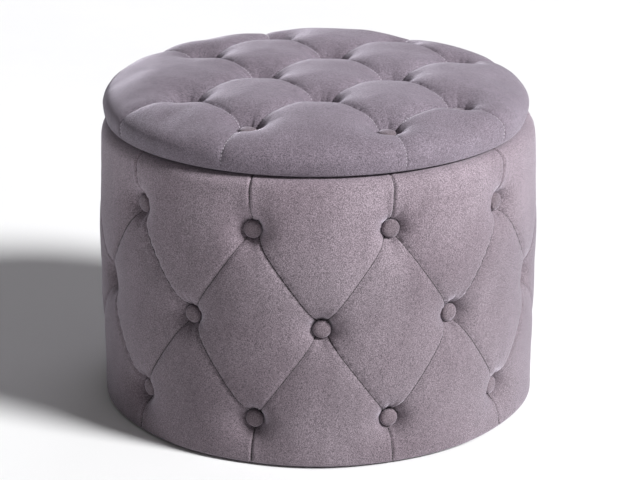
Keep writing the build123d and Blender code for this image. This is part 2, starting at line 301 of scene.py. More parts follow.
def closed_cover(name, coarse_faces, fine, back, material):
    """A cloth of real thickness: the fine mesh outside, the coarse one set in as its back."""
    front = coords(fine)
    fine_faces = [tuple(p.vertices) for p in fine.polygons]
    n = len(front)
    uses = {}
    for f in fine_faces:
        for pair in zip(f, f[1:] + f[:1]):
            key = (min(pair), max(pair))
            uses[key] = uses.get(key, 0) + 1
    mids = {}
    for (a, b), times in uses.items():
        if times == 1:
            mids.setdefault(b, []).append(a)
    faces = fine_faces + [tuple(n + i for i in f[::-1]) for f in coarse_faces]
    for mid, (a, b) in mids.items():
        faces += [(a, mid, n + a), (mid, n + b, n + a), (mid, b, n + b)]
    return closed_object(name, np.vstack([front, back]), faces, material)


# ---- body cover ----
STEPS = 16  # mesh steps from one button to the next column or row
COLUMNS = HALF_COLUMNS * STEPS
HEM_END = 3  # the last row of the profile on the underside
RIM_STEPS = 6  # rows over the rim's rounding
MOUTH_ROWS = 8  # the seams end this many rows before the hem in the mouth
HEM_R = 226 * MM
BASE_ROUND = 3.5 * MM
HEM_FLAT_R = 246.3 * MM  # the hem lies flat under the base out to here
HEM_ROLL_R = 251 * MM  # and rolls down round the padding from here
DROOP = 2.6 * MM  # the padding's lower edge hangs this far below the base
LEAN = 5 * MM  # the side leans in by this much at the rim
LEAN_START = RIM_Z - 115 * MM
MOUTH_ROUND = 3 * MM
RIM_ROUND = 14 * MM
BODY_SEAM_MIDDLE = 1.5 * MM
BUTTON_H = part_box("lid_buttons")[1][2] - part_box("lid_buttons")[0][2]
BODY_SEAT_R = float(np.linalg.norm(ROW_CENTRES[1][:, :2], axis=1).mean()) - BUTTON_H / 2
BODY_DEPTH = BODY_R - BODY_SEAT_R + CREVICE
BODY_FUNNEL = (8 * MM, 0.72)  # reach and power
BODY_VALLEY = 4.5 * MM  # width of the valley along a seam
BODY_SEAM_BACK = 2.9 * MM  # the cloth is this thick along its seams, where it is folded


def bunched(t):
    """Steps from 0 to 1, closer together at both ends, where the buttons are."""
    return t - 0.6 * np.sin(2 * math.pi * t) / (2 * math.pi)


def arc(cx, cz, radius, first, last, steps):
    """Points after the first one along an arc in the r, z plane, angles in degrees."""
    turns = np.radians(np.linspace(first, last, steps + 1)[1:])
    return [(cx + radius * math.cos(a), cz + radius * math.sin(a)) for a in turns]


def body_profile():
    """The cover's outline from the hem under the base, up the side and over the rim into the mouth.
    Returns the points and the row numbers of the three button rows and of both ends of the side."""
    z0 = BODY_LO.z
    foot_r = BODY_R - BASE_ROUND
    rows = [(HEM_R, z0), (HEM_FLAT_R, z0), (HEM_ROLL_R, z0 - 0.7 * DROOP), (foot_r, z0 - DROOP)]
    rows += arc(foot_r, z0 - DROOP + BASE_ROUND, BASE_ROUND, -90, 0, 3)
    side_start = len(rows) - 1
    bottom = rows[-1][1]
    rows += [(BODY_R, bottom + (ROW_Z[0] - bottom) * math.sin(t * math.pi / 14)) for t in range(1, 8)]
    marks = [len(rows) - 1]
    for low, high in zip(ROW_Z, ROW_Z[1:]):
        rows += [(BODY_R, low + (high - low) * bunched(t / STEPS)) for t in range(1, STEPS + 1)]
        marks.append(len(rows) - 1)
    top = RIM_Z - RIM_ROUND
    rows += [(BODY_R, top - (top - ROW_Z[2]) * math.cos(t * math.pi / 16)) for t in range(1, 9)]
    side_end = len(rows) - 1
    rows += arc(BODY_R - RIM_ROUND, top, RIM_ROUND, 0, 90, RIM_STEPS)
    rows += [(r, RIM_Z) for r in np.linspace(BODY_R - RIM_ROUND, MOUTH_R + MOUTH_ROUND, 6)[1:]]
    rows += arc(MOUTH_R + MOUTH_ROUND, RIM_Z - MOUTH_ROUND, MOUTH_ROUND, 90, 180, 3)
    rows += [(MOUTH_R, z) for z in np.linspace(RIM_Z - MOUTH_ROUND, FLANGE_Z, 4)[1:]]
    rows = np.array(rows)
    outside = np.clip((rows[:, 0] - MOUTH_R - 4 * MM) / (22 * MM), 0, 1)
    rows[:, 0] -= outside * LEAN * np.clip((rows[:, 1] - LEAN_START) / (RIM_Z - LEAN_START), 0, 1) ** 1.5
    return rows, marks, side_start, side_end


def body_seams(rows, marks):
    """Each seam as a chain of vertex numbers: diagonals between buttons, uprights to base and rim."""
    lower, middle, upper = marks
    chains = []
    for m in range(HALF_COLUMNS):
        for way in (-1, 1):
            cols = [m * STEPS + k if m % 2 == 0 else (m + 1) * STEPS - k for k in range(STEPS + 1)]
            chains.append([(middle + way * k) * COLUMNS + c % COLUMNS for k, c in enumerate(cols)])
    for m in range(1, HALF_COLUMNS, 2):
        chains.append([i * COLUMNS + m * STEPS for i in range(upper, len(rows) - MOUTH_ROWS)])
        chains.append([i * COLUMNS + m * STEPS for i in range(lower, HEM_END - 1, -1)])
    return chains


def split_quads(quads, chains):
    """Quads, but cut along the diagonal wherever a seam crosses one."""
    seam = {(min(a, b), max(a, b)) for chain in chains for a, b in zip(chain, chain[1:])}
    faces = []
    for a, b, c, d in quads:
        if (min(a, c), max(a, c)) in seam:
            faces += [(a, b, c), (a, c, d)]
        elif (min(b, d), max(b, d)) in seam:
            faces += [(a, b, d), (b, c, d)]
        else:
            faces.append((a, b, c, d))
    return faces, seam


def near_body_button(co):
    """Offsets from the nearest body button as unrolled vectors, the distance and the button's number."""
    theta = np.arctan2(co[:, 0], -co[:, 1]) - BODY_TURN
    best = np.full(len(co), 1e9)
    offset = np.zeros((len(co), 2))
    number = np.zeros(len(co), int)
    for row, z in enumerate(ROW_Z):
        shift = 0 if row == 1 else COLUMN
        k = np.round((theta - shift) / (2 * COLUMN))
        ds = (theta - shift - k * 2 * COLUMN) * BODY_R
        dz = co[:, 2] - z
        d = np.hypot(ds, dz)
        near = d < best
        best[near] = d[near]
        offset[near] = np.stack([ds, dz], 1)[near]
        number[near] = (row * ROW_BUTTONS + k.astype(int) % ROW_BUTTONS)[near]
    return offset, best, number


def body_seam_distance(co):
    """Distance to the nearest body seam on the unrolled side."""
    theta = np.arctan2(co[:, 0], -co[:, 1]) - BODY_TURN
    theta -= np.round(theta / (2 * COLUMN)) * 2 * COLUMN
    flat = np.stack([theta * BODY_R, co[:, 2]], 1)
    half = COLUMN * BODY_R
    ends = [((0, ROW_Z[1]), (side * half, ROW_Z[r])) for side in (-1, 1) for r in (0, 2)]
    ends += [((side * half, ROW_Z[2]), (side * half, RIM_Z + 20 * MM)) for side in (-1, 1)]
    ends += [((side * half, ROW_Z[0]), (side * half, -20 * MM)) for side in (-1, 1)]
    starts, stops = (np.array([e[k] for e in ends]) for k in (0, 1))
    return to_segments(flat, starts, stops)


def revolve_rows(rows, angles):
    """Points of a profile of r, z rows, turned to each angle."""
    r, z = rows.T
    x, y = np.sin(angles), -np.cos(angles)
    co = np.stack([np.outer(r, x), np.outer(r, y), np.repeat(z[:, None], len(angles), 1)], 2)
    return co.reshape(-1, 3)


def row_quads(n_rows, n_cols, first=0):
    """Quads between neighbouring rows of a closed band whose vertices start at first."""
    return [
        (first + i * n_cols + j, first + i * n_cols + (j + 1) % n_cols,
         first + (i + 1) * n_cols + (j + 1) % n_cols, first + (i + 1) * n_cols + j)
        for i in range(n_rows - 1)
        for j in range(n_cols)
    ]


def make_body_cover(material):
    rows, marks, side_start, side_end = body_profile()
    columns = [m + bunched(j / STEPS) for m in range(HALF_COLUMNS) for j in range(STEPS)]
    angles = BODY_TURN + COLUMN * np.array(columns)
    flat = revolve_rows(rows, angles)
    chains = body_seams(rows, marks)
    faces, seam_pairs = split_quads(row_quads(len(rows), COLUMNS), chains)
    ob = new_object("body_velvet_cover", flat, faces, material)
    row_of = np.repeat(np.arange(len(rows)), COLUMNS)
    _, to_button, _ = near_body_button(flat)
    on_side = (row_of > side_start) & (row_of < side_end)
    disc = (to_button < SEAT_R) & on_side
    on_seam = np.zeros(len(flat), bool)
    for chain in chains:
        on_seam[chain] = True
    rim_end = side_end + RIM_STEPS
    edge = (row_of <= HEM_END) | (row_of >= rim_end)
    to_seam = body_seam_distance(flat)
    seat = np.maximum(BODY_DEPTH - BODY_R + np.hypot(flat[:, 0], flat[:, 1]), 0)
    depth = tuft_depth(to_button, to_seam, seat, BODY_SEAM_MIDDLE, *BODY_FUNNEL, BODY_VALLEY)
    depth *= np.clip((row_of - HEM_END) / 5, 0, 1) * np.clip((rim_end - row_of) / 8, 0, 1)
    on_seam &= ~edge
    along = np.gradient(rows, axis=0)
    out = np.stack([along[:, 1], -along[:, 0]], 1)
    out /= np.linalg.norm(out, axis=1)[:, None]
    theta = np.tile(angles, len(rows))
    nr, nz = out[row_of].T
    direction = np.stack([np.sin(theta) * nr, -np.cos(theta) * nr, nz], 1)
    set_coords(ob.data, flat - direction * depth[:, None])
    held = on_seam | disc | (row_of <= HEM_END + 1) | (row_of >= rim_end - 2)
    cloth(ob, held, cap=2 * MM)
    coarse = coords(ob.data)
    back = coarse - normals(ob.data) * np.where(on_seam | disc, BODY_SEAM_BACK, COVER_T)[:, None]
    fine = subdivided(ob, seam_pairs)
    bpy.data.objects.remove(ob)
    dress_body(fine)
    shell = closed_cover("body_velvet_cover", faces, fine, back, material)
    fine_co = coords(fine)
    return shell, coarse, [fine_co[chain] for chain in chains]


def dress_body(fine):
    """Seam grooves, gathers round the buttons, puckers along the seams and slight unevenness."""
    co = coords(fine)
    no = normals(fine)
    radius = np.hypot(co[:, 0], co[:, 1])
    side = np.clip((radius - (MOUTH_R + 12 * MM)) / (10 * MM), 0, 1) * np.clip(co[:, 2] / (14 * MM), 0, 1)
    offset, to_button, number = near_body_button(co)
    to_seam = body_seam_distance(co)
    beyond = np.clip((to_button - BUTTON_R) / (2 * MM), 0, 1)
    groove = -1.7 * MM * np.exp(-((to_seam / (1.2 * MM)) ** 2)) * beyond
    lip = 0.35 * MM * np.exp(-(((to_seam - 4 * MM) / (2.5 * MM)) ** 2)) * beyond
    above = 0.55 + 0.45 * offset[:, 1] / np.maximum(to_button, 1e-9)
    fold = above * gathers(offset, to_button, number, (9, 14, 19), 1.0 * MM, 11 * MM, 3)
    pucker = 0.3 * MM * wander(co, 130, 2) * np.exp(-to_seam / (7 * MM))
    uneven = 0.8 * MM * wander(co, 16, 5) + 0.25 * MM * wander(co, 55, 9)
    uneven *= np.clip((to_button - BUTTON_R) / (10 * MM), 0, 1)
    move = (groove + lip + fold + pucker + uneven) * side
    set_coords(fine, co + no * move[:, None])


# ---- lid cover ----
LID_WIDEST = LID_Z + 20 * MM
LID_CROWN = TOP_Z - 8 * MM  # the crown before tufting
LID_ROUNDNESS = (4.8, 0.5)  # powers of the crown's curve: top and shoulder
LID_SINK = 3 * MM  # the buttons sit this much deeper in the soft pad than in the CAD
LID_SLOPE = 0.012  # the pad is a little fuller at the back
LID_TUCK = 3 * MM
LID_LIFT = 3.4 * MM  # the edge stands this far above the hem: a dark gap over the body's rim
LID_HEM_R = 212 * MM
LID_EDGE_STEPS = 384
LID_EDGE_RINGS = (3.4, 7.2, 11.4)  # rings of mesh points this far in from the edge, in mm
LID_CURL = ((0.7, 2.6), (2.4, 2.1), (6, 1.1), (10, 0))  # the edge curls under: inward and up, in mm
LID_SEAM_MIDDLE = 7.5 * MM
LID_FUNNEL = (12 * MM, 0.75)  # reach and power
LID_VALLEY = 12 * MM
LID_SEAM_BACK = 3.1 * MM
LID_GRID = 4.9 * MM  # between mesh points away from buttons and seams
CROWN_STEPS = 400  # points of the crown's curve, from its centre to its widest place
SEAM_STEPS = 24  # mesh steps of a seam between two buttons
EDGE_SEAM_STEPS = 28  # and of one that runs over the edge
LID_SEAT_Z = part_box("lid_buttons")[0][2] - LID_SINK
RING_RADII = (11.1, 12.6, 14.8, 17.4, 21.2, 26.0)  # rings of mesh points round a button, in mm
UNDER_BUTTON = (4.0, 8.0)  # and under it
RING_COUNTS = (8, 20, 40, 40, 40, 38, 38, 38)  # points in each ring, from the smallest
EDGE_CLEAR = 14 * MM  # the grid stays this far inside the edge
JITTER = 0.25 * MM


def lid_profile():
    """The lid's crown from its centre out over the shoulder and down to the edge: r, z and arc length."""
    t = np.linspace(0, math.pi / 2, CROWN_STEPS)
    top, shoulder = LID_ROUNDNESS
    r = LID_R * np.sin(t) ** (2 / top)
    z = LID_WIDEST + (LID_CROWN - LID_WIDEST) * np.cos(t) ** (2 * shoulder)
    u = np.linspace(0, 1, 40)[1:]
    r = np.concatenate([r, LID_R - LID_TUCK * u**2])
    z = np.concatenate([z, LID_WIDEST - (LID_WIDEST - LID_Z - LID_LIFT) * u])
    rho = np.concatenate([[0], np.cumsum(np.hypot(np.diff(r), np.diff(z)))])
    return r, z, rho


PROFILE_R, PROFILE_Z, PROFILE_RHO = lid_profile()
LID_REACH = float(PROFILE_RHO[-1])


def unrolled(plan):
    """Plan points on the lid's crown, moved out to their distance along the surface."""
    radius = np.linalg.norm(plan, axis=1)
    reach = np.interp(radius, PROFILE_R[:CROWN_STEPS], PROFILE_RHO[:CROWN_STEPS])
    return plan * (reach / np.maximum(radius, 1e-9))[:, None]


def rolled(flat):
    """Unrolled points back on the crown, with the direction in which the padding is pressed in."""
    rho = np.linalg.norm(flat, axis=1)
    r, z = np.interp(rho, PROFILE_RHO, PROFILE_R), np.interp(rho, PROFILE_RHO, PROFILE_Z)
    slope = np.stack([np.gradient(PROFILE_R, PROFILE_RHO), np.gradient(PROFILE_Z, PROFILE_RHO)])
    nr, nz = -np.interp(rho, PROFILE_RHO, slope[1]), np.interp(rho, PROFILE_RHO, slope[0])
    unit = flat / np.maximum(rho, 1e-9)[:, None]
    blend = np.clip((r - 205 * MM) / (35 * MM), 0, 1)
    blend = (blend * blend * (3 - 2 * blend))[:, None]
    normal = np.column_stack([unit * nr[:, None], nz])
    way = blend * normal + (1 - blend) * np.array([0, 0, 1.0])
    way /= np.linalg.norm(way, axis=1)[:, None]
    z = z + LID_SLOPE * unit[:, 1] * r * np.clip((LID_REACH - rho) / (60 * MM), 0, 1)
    return np.column_stack([unit * r[:, None], z]), way


def lid_seams():
    """Unrolled chains of points: seams between neighbouring buttons, and seams from the outer buttons
    over the shoulder to the edge."""
    plan = LID_BUTTONS[:, :2]
    chains = []
    start = RING_RADII[0] * MM
    for i in range(len(plan)):
        for j in range(i + 1, len(plan)):
            span = np.linalg.norm(plan[j] - plan[i])
            if span < LID_NEIGHBOUR:
                t = start / span + (1 - 2 * start / span) * bunched(np.linspace(0, 1, SEAM_STEPS + 1))
                chains.append(unrolled(plan[i] + t[:, None] * (plan[j] - plan[i])))
    for p in plan:
        if np.linalg.norm(p) > LID_OUTER:
            step = 2 * math.pi / LID_EDGE_STEPS
            phi = round((angle_of(p) - LID_SEAM_SWING) / step) * step
            end = LID_REACH * np.array([math.sin(phi), -math.cos(phi)])
            first = unrolled(p[None])[0]
            span = np.linalg.norm(end - first)
            t = start / span + (1 - start / span) * np.linspace(0, 1, EDGE_SEAM_STEPS + 1) ** 1.25
            chains.append(first + t[:, None] * (end - first))
    return chains


def lid_mesh_points(chains):
    """Unrolled points for the lid's mesh, finer round the buttons, and the edges along the seams."""
    points, edges = [], []

    def add(candidates, clearance):
        """Keep the candidates that are clear of every point so far."""
        so_far = np.array(points)
        points.extend(p for p in candidates if ((so_far - p) ** 2).sum(1).min() > clearance**2)

    for chain in chains:
        first = len(points)
        points.extend(chain)
        edges += [(k, k + 1) for k in range(first, len(points) - 1)]
    phi = np.arange(LID_EDGE_STEPS) * 2 * math.pi / LID_EDGE_STEPS
    rim = LID_REACH * np.stack([np.sin(phi), -np.cos(phi)], 1)
    add(rim, 0.5 * MM)
    for k, reach in enumerate(LID_EDGE_RINGS):
        add(rim * (1 - reach * MM / LID_REACH), (2.2 + 0.4 * k) * MM)
    centres = unrolled(LID_BUTTONS[:, :2])
    for radius, count in zip(UNDER_BUTTON + RING_RADII, RING_COUNTS):
        turn = np.arange(count) * 2 * math.pi / count
        ring = radius * MM * np.stack([np.cos(turn), np.sin(turn)], 1)
        for c in centres:
            add(c + ring, 0.6 * 2 * math.pi * radius * MM / count)
    add(centres, 1 * MM)
    steps = int(LID_REACH / LID_GRID) + 2
    grid = [
        ((i + 0.5 * (j % 2)) * LID_GRID, j * LID_GRID * 0.866)
        for j in range(-steps - 8, steps + 9)
        for i in range(-steps, steps + 1)
    ]
    grid = np.array([g for g in grid if math.hypot(*g) < LID_REACH - EDGE_CLEAR])
    grid += rng.uniform(-JITTER, JITTER, grid.shape)
    so_far = np.array(points)
    far = np.array([((so_far - g) ** 2).sum(1).min() for g in grid]) > (0.72 * LID_GRID) ** 2
    return np.vstack([so_far, grid[far]]), edges


def skirt(edge_ids, first):
    """Quads from the crown's edge to a ring of as many vertices that starts at first."""
    ids = [int(i) for i in edge_ids]
    count = len(ids)
    return [(ids[k], first + k, first + (k + 1) % count, ids[(k + 1) % count]) for k in range(count)]


def make_lid_cover(material):
    chains = lid_seams()
    points, edges = lid_mesh_points(chains)
    out = geometry.delaunay_2d_cdt([Vector(p) for p in points], edges, [], 0, 1e-7)
    flat = np.array([v[:] for v in out[0]])
    faces = [tuple(f) for f in out[2]]
    crown, way = rolled(flat)
    centres = unrolled(LID_BUTTONS[:, :2])
    gap = np.linalg.norm(flat[:, None] - centres[None], axis=2)
    to_button = gap.min(1)
    disc = to_button < SEAT_R
    seam_ends = [(chain[0], chain[-1]) for chain in chains]
    to_seam = to_segments(flat, *zip(*seam_ends))
    lines = [[int(((flat - p) ** 2).sum(1).argmin()) for p in chain] for chain in chains]
    on_seam = np.zeros(len(flat), bool)
    on_seam[np.concatenate(lines)] = True
    rho = np.linalg.norm(flat, axis=1)
    fade = np.clip((LID_REACH - 12 * MM - rho) / (LID_REACH - 195 * MM), 0, 1)
    middle = LID_SEAM_MIDDLE * fade + 0.6 * MM
    seat = np.maximum(crown[:, 2] - LID_SEAT_Z + CREVICE, 0)
    depth = tuft_depth(to_button, to_seam, seat, middle, *LID_FUNNEL, LID_VALLEY)
    depth *= np.clip((LID_REACH - rho) / (10 * MM), 0, 1)
    co = crown - way * depth[:, None]
    edge_ids = np.flatnonzero(rho > LID_REACH - 0.1 * MM)
    turn = np.arctan2(flat[edge_ids, 0], -flat[edge_ids, 1])
    edge_ids = edge_ids[np.argsort(turn)]
    turn = np.sort(turn)
    bottom_r = PROFILE_R[-1]
    under = [(bottom_r - inward * MM, LID_Z + up * MM) for inward, up in LID_CURL]
    under += [(r, LID_Z) for r in np.linspace(bottom_r - 15 * MM, LID_HEM_R, 4)]
    hem = revolve_rows(np.array(under), turn)
    n = len(co)
    count = len(edge_ids)
    faces += skirt(edge_ids, n) + [f[::-1] for f in row_quads(len(under), count, n)]
    ob = closed_object("lid_velvet_cover", np.vstack([co, hem]), faces, material)
    faces = [tuple(p.vertices) for p in ob.data.polygons]
    spread = np.vstack([flat, flat[edge_ids][np.tile(np.arange(count), len(under))] * 1.05])
    held = np.concatenate([on_seam | disc | (rho > LID_REACH - 5 * MM), np.ones(len(hem), bool)])
    cloth(ob, held, cap=3 * MM)
    coarse = coords(ob.data)
    inset = np.where(np.concatenate([on_seam | disc, np.zeros(len(hem), bool)]), LID_SEAM_BACK, COVER_T)
    back = coarse - normals(ob.data) * inset[:, None]
    attribute = ob.data.attributes.new("spread", "FLOAT_VECTOR", "POINT")
    attribute.data.foreach_set("vector", np.column_stack([spread, np.zeros(len(spread))]).ravel())
    pairs = [(a, b) for line in lines for a, b in zip(line, line[1:])]
    fine = subdivided(ob, pairs)
    bpy.data.objects.remove(ob)
    dress_lid(fine, centres, seam_ends)
    shell = closed_cover("lid_velvet_cover", faces, fine, back, material)
    fine_co = coords(fine)
    return shell, coarse, faces, [fine_co[ids] for ids in lines], n, edge_ids


def crown_direction(point):
    """The direction out of the lid's crown above or beside a point on the cover."""
    r = math.hypot(point[0], point[1])
    lean = min(max((r - 200 * MM) / (45 * MM), 0), 1) * math.pi / 2
    unit = np.array([point[0], point[1], 0]) / max(r, 1e-9)
    return unit * math.sin(lean) + np.array([0, 0, math.cos(lean)])


def dress_lid(fine, centres, seam_ends):
    """The same as dress_body, measured on the unrolled crown."""
    co = coords(fine)
    no = normals(fine)
    spread = np.empty(len(co) * 3)
    fine.attributes["spread"].data.foreach_get("vector", spread)
    flat = spread.reshape(-1, 3)[:, :2]
    rho = np.linalg.norm(flat, axis=1)
    top = np.clip((LID_REACH - rho) / (6 * MM), 0, 1)
    gap = np.linalg.norm(flat[:, None] - centres[None], axis=2)
    number = gap.argmin(1)
    to_button = gap.min(1)
    offset = flat - centres[number]
    to_seam = to_segments(flat, *zip(*seam_ends))
    beyond = np.clip((to_button - BUTTON_R) / (2 * MM), 0, 1)
    groove = -1.5 * MM * np.exp(-((to_seam / (1.4 * MM)) ** 2)) * beyond
    fold = gathers(offset, to_button, number, (9, 13, 17), 0.55 * MM, 12 * MM, 4)
    pucker = 0.35 * MM * wander(co, 120, 12) * np.exp(-to_seam / (8 * MM))
    uneven = 1.0 * MM * wander(co, 15, 15) + 0.3 * MM * wander(co, 50, 19)
    uneven *= np.clip((to_button - BUTTON_R) / (10 * MM), 0, 1)
    move = (groove + fold + pucker + uneven) * top
    set_coords(fine, co + no * move[:, None])


# ---- buttons, stitches and foam ----
def button_mesh(seed):
    """A covered button about local Z: a low dome, a rolled rim and the cloth drawn in behind."""
    outline = [(1.2, 6.48), (4.2, 6.35), (6.8, 6.0), (8.8, 5.35), (10.1, 4.4), (10.8, 3.2), (11.0, 1.8)]
    outline += [(10.8, 0.5), (10.2, -0.6), (8.6, -1.4), (5.0, -1.6)]
    count = 40
    local = np.random.default_rng(seed)
    phase = local.uniform(0, 6.28, 3)
    verts = [(0, 0, 6.5 * MM)]
    for r, z in outline:
        for k in range(count):
            a = 2 * math.pi * k / count
            crimp = 0.16 * math.sin(13 * a + phase[0]) + 0.1 * math.sin(9 * a + phase[1])
            low = max(0.0, 1 - z / 4.5)
            rr = (0.95 * r + crimp * low) * MM
            zz = (z + 0.12 * math.sin(2 * a + phase[2]) * r / 11) * MM
            verts.append((rr * math.cos(a), rr * math.sin(a), zz))
    verts.append((0, 0, -1.6 * MM))
    faces = [(0, 1 + k, 1 + (k + 1) % count) for k in range(count)]
    faces += row_quads(len(outline), count, 1)
    last = 1 + (len(outline) - 1) * count
    faces += [(last + k, len(verts) - 1, last + (k + 1) % count) for k in range(count)]
    return np.array(verts), faces


def make_buttons(name, places, material):
    """places: list of (seat point, outward direction)."""
    verts, faces = [], []
    for k, (seat, out) in enumerate(places):
        v, f = button_mesh(k + 11)
        out = np.array(out) / np.linalg.norm(out)
        side = np.cross([0, 0, 1.0], out) if abs(out[2]) < 0.9 else np.array([1.0, 0, 0])
        side /= np.linalg.norm(side)
        up = np.cross(out, side)
        base = sum(len(x) for x in verts)
        verts.append(seat + v[:, :1] * side + v[:, 1:2] * up + v[:, 2:] * out)
        faces += [tuple(base + i for i in face) for face in f]
    return closed_object(name, np.vstack(verts), faces, material)


STITCH_SHAPE = ((-1, 0.25), (-0.8, 0.85), (0, 1.1), (0.8, 0.85), (1, 0.25))  # place and thickness
STITCH_END = 4 * MM  # no stitch nearer than this to the end of a seam


def make_stitches(name, lines, lift_from, material, pitch, length, lift, radius):
    """Short thread stitches lying along each seam line, lifted a little off the groove's floor."""
    verts, faces = [], []
    sides = 6
    half = length / 2
    for line in lines:
        seg = np.linalg.norm(np.diff(line, axis=0), axis=1)
        along = np.concatenate([[0], np.cumsum(seg)])
        for s in np.arange(STITCH_END, along[-1] - STITCH_END, pitch):
            a, b = (np.array([np.interp(s + d, along, xyz) for xyz in line.T]) for d in (-half, half))
            out = lift_from((a + b) / 2)
            axis = (b - a) / np.linalg.norm(b - a)
            side = np.cross(axis, out)
            side /= np.linalg.norm(side)
            up = np.cross(side, axis)
            centre = (a + b) / 2 + out * lift
            base = len(verts)
            for t, width in STITCH_SHAPE:
                sink = -0.25 * MM * t * t
                for k in range(sides):
                    q = 2 * math.pi * k / sides
                    ring = math.cos(q) * side + math.sin(q) * up
                    verts.append(centre + axis * t * half + up * sink + ring * radius * width)
            faces += row_quads(len(STITCH_SHAPE), sides, base)
            last = base + (len(STITCH_SHAPE) - 1) * sides
            faces += [tuple(range(base, base + sides))[::-1], tuple(range(last, last + sides))]
    return closed_object(name, verts, faces, material)


FOAM_END = 2 * MM  # both foams end this far above the hem below them
FOAM_TOP = RIM_Z - 2.2 * MM
FOAM_PLAY = 0.3 * MM  # between the foam and the board or wall behind it
BUTTON_PINCH = 22 * MM  # the foam is squeezed this far round a button
BODY_FOAM_INSET = (4.2 * MM, 5 * MM)  # from the cover, and how much more at a button
LID_FOAM_INSET = (3.6 * MM, 6 * MM)
FOAM_RING_R = 120 * MM  # a ring of mesh points halfway to the centre of the pad's underside


def foam_inset(inset, to_button):
    """How far the foam lies inside its cover at these distances from a button."""
    everywhere, at_button = inset
    return everywhere + at_button * np.exp(-((to_button / BUTTON_PINCH) ** 2))


def make_body_foam(coarse, material):
    """The foam wrap: it fills the side of the cover from the base panel to the rim, round the wall."""
    rows, _, _, side_end = body_profile()
    first, last = HEM_END, side_end + RIM_STEPS
    outer = coarse.reshape(len(rows), COLUMNS, 3)[first : last + 1].copy()
    radius = np.hypot(outer[..., 0], outer[..., 1])
    _, to_button, _ = near_body_button(outer.reshape(-1, 3))
    shrink = (radius - foam_inset(BODY_FOAM_INSET, to_button).reshape(radius.shape)) / radius
    outer[..., :2] *= shrink[..., None]
    outer[..., 2] = np.clip(outer[..., 2], BODY_LO.z + FOAM_END, FOAM_TOP)
    theta = np.arctan2(outer[0, :, 0], -outer[0, :, 1])
    inner = np.array([(WALL_R + FOAM_PLAY, z) for z in np.linspace(FOAM_TOP, BODY_LO.z + FOAM_END, 5)])
    verts = np.vstack([outer.reshape(-1, 3), revolve_rows(inner, theta)])
    n_rows = last - first + 1 + len(inner)
    faces = row_quads(n_rows, COLUMNS)
    faces += [
        ((n_rows - 1) * COLUMNS + k, (n_rows - 1) * COLUMNS + (k + 1) % COLUMNS, (k + 1) % COLUMNS, k)
        for k in range(COLUMNS)
    ]
    return closed_object("body_foam_wrap", verts, faces, material)


def make_lid_foam(coarse, crown_count, edge_ids, faces, material):
    """The foam pad: the lid cover's crown, set in by the cloth, down over the edge of the board."""
    crown = coarse[:crown_count].copy()
    radius = np.hypot(crown[:, 0], crown[:, 1])
    inward = np.clip((radius - 200 * MM) / (50 * MM), 0, 1) * LID_FOAM_INSET[0]
    crown[:, :2] *= ((radius - inward) / np.maximum(radius, 1e-9))[:, None]
    gap = np.linalg.norm(crown[:, None, :2] - LID_BUTTONS[None, :, :2], axis=2).min(1)
    low = LID_Z + FOAM_END
    lowest = np.where(radius < BOARD_R + 2 * MM, BOARD_TOP + 1.2 * MM, low)
    crown[:, 2] = np.maximum(crown[:, 2] - foam_inset(LID_FOAM_INSET, gap), lowest)
    edge = crown[edge_ids]
    theta = np.arctan2(edge[:, 0], -edge[:, 1])
    board_z = BOARD_TOP + FOAM_PLAY
    rows = [(BOARD_R + 0.4 * MM, low), (BOARD_R + 0.4 * MM, board_z), (FOAM_RING_R, board_z)]
    ring = revolve_rows(np.array(rows), theta)
    centre = np.array([[0, 0, board_z]])
    n, count = crown_count, len(edge_ids)
    top = [f for f in faces if max(f) < crown_count]
    joined = skirt(edge_ids, n) + row_quads(len(rows), count, n)
    last = n + (len(rows) - 1) * count
    joined += [(last + k, last + (k + 1) % count, last + count) for k in range(count)]
    return closed_object("lid_foam_pad", np.vstack([crown, ring, centre]), top + joined, material)


# ---- materials ----
def material(name, rough, metal=0.0):
    m = bpy.data.materials.new(name)
    m.use_nodes = True
    tree = m.node_tree
    shader = tree.nodes["Principled BSDF"]
    shader.inputs["Roughness"].default_value = rough
    shader.inputs["Metallic"].default_value = metal
    place = tree.nodes.new("ShaderNodeTexCoord").outputs["Object"]
    return m, tree, shader, place


def mapped(tree, place, scale):
    node = tree.nodes.new("ShaderNodeMapping")
    node.inputs["Scale"].default_value = scale
    tree.links.new(place, node.inputs["Vector"])
    return node.outputs["Vector"]


def noise_node(tree, place, scale, detail=3.0, roughness=0.5, distortion=0.0):
    node = tree.nodes.new("ShaderNodeTexNoise")
    node.inputs["Scale"].default_value = scale
    node.inputs["Detail"].default_value = detail
    node.inputs["Roughness"].default_value = roughness
    node.inputs["Distortion"].default_value = distortion
    tree.links.new(place, node.inputs["Vector"])
    return node.outputs["Fac"]


def ramp(tree, fac, stops):
    node = tree.nodes.new("ShaderNodeValToRGB")
    ramp_ = node.color_ramp
    ramp_.elements[0].position, ramp_.elements[0].color = stops[0][0], (*stops[0][1], 1)
    ramp_.elements[1].position, ramp_.elements[1].color = stops[-1][0], (*stops[-1][1], 1)
    for position, colour in stops[1:-1]:
        ramp_.elements.new(position).color = (*colour, 1)
    tree.links.new(fac, node.inputs["Fac"])
    return node.outputs["Color"]


def mix(tree, a, b, amount):
    """Colour a multiplied by colour b, as far as amount."""
    node = tree.nodes.new("ShaderNodeMix")
    node.data_type = "RGBA"
    node.blend_type = "MULTIPLY"
    node.inputs["Factor"].default_value = amount
    tree.links.new(a, node.inputs["A"])
    tree.links.new(b, node.inputs["B"])
    return node.outputs["Result"]


def scaled(tree, fac, low, high):
    """A factor in 0..1 spread over low..high."""
    node = tree.nodes.new("ShaderNodeMapRange")
    node.inputs["To Min"].default_value = low
    node.inputs["To Max"].default_value = high
    tree.links.new(fac, node.inputs["Value"])
    return node.outputs["Result"]


